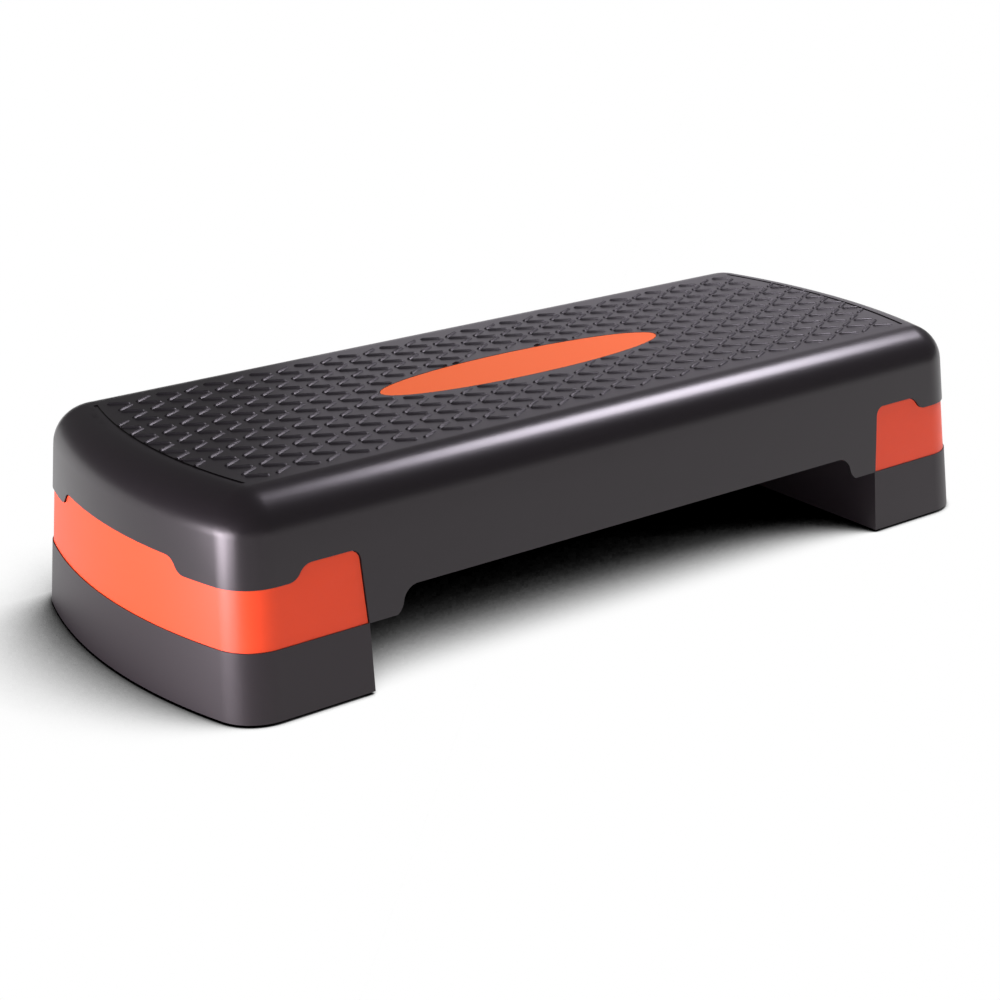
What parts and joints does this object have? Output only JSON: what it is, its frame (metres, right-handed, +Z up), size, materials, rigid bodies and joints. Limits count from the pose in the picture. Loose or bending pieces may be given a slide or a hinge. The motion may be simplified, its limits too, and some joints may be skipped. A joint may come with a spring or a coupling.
{
  "type": "aerobic step platform",
  "caption": "Low aerobic step platform with a textured moulded deck, coloured end bands and pull-off height risers on rubber feet, for stepping exercises.",
  "frame": {"origin": "on the floor under the middle of the deck, with the risers fitted", "axes": "+X along the step's length, +Y across it to the back, +Z up"},
  "size_m": [0.6888, 0.2848, 0.145],
  "materials": {
    "deck_plastic": "satin moulded polypropylene",
    "band_plastic": "satin moulded polypropylene",
    "badge_plastic": "smooth plain face",
    "riser_plastic": "satin moulded polypropylene",
    "foot_rubber": "plain rubber",
    "screw_steel": "zinc plated"
  },
  "bodies": {
    "deck": {"deck": "deck_plastic", "badge_plate": "badge_plastic", "left_band": "band_plastic", "right_band": "band_plastic", "left_band_screws": "screw_steel", "right_band_screws": "screw_steel", "left_band_foot_1": "foot_rubber", "left_band_foot_2": "foot_rubber", "left_band_foot_3": "foot_rubber", "left_band_foot_4": "foot_rubber", "right_band_foot_1": "foot_rubber", "right_band_foot_2": "foot_rubber", "right_band_foot_3": "foot_rubber", "right_band_foot_4": "foot_rubber"},
    "left_riser": {"left_riser": "riser_plastic", "left_riser_foot_1": "foot_rubber", "left_riser_foot_2": "foot_rubber", "left_riser_foot_3": "foot_rubber", "left_riser_foot_4": "foot_rubber"},
    "right_riser": {"right_riser": "riser_plastic", "right_riser_foot_1": "foot_rubber", "right_riser_foot_2": "foot_rubber", "right_riser_foot_3": "foot_rubber", "right_riser_foot_4": "foot_rubber"}
  },
  "joints": [
    {"name": "left_riser_pull", "type": "slide", "parent": "deck", "child": "left_riser", "axis": [0, 0, -1], "range_m": [0, 0.06]},
    {"name": "right_riser_pull", "type": "slide", "parent": "deck", "child": "right_riser", "axis": [0, 0, -1], "range_m": [0, 0.06]}
  ]
}
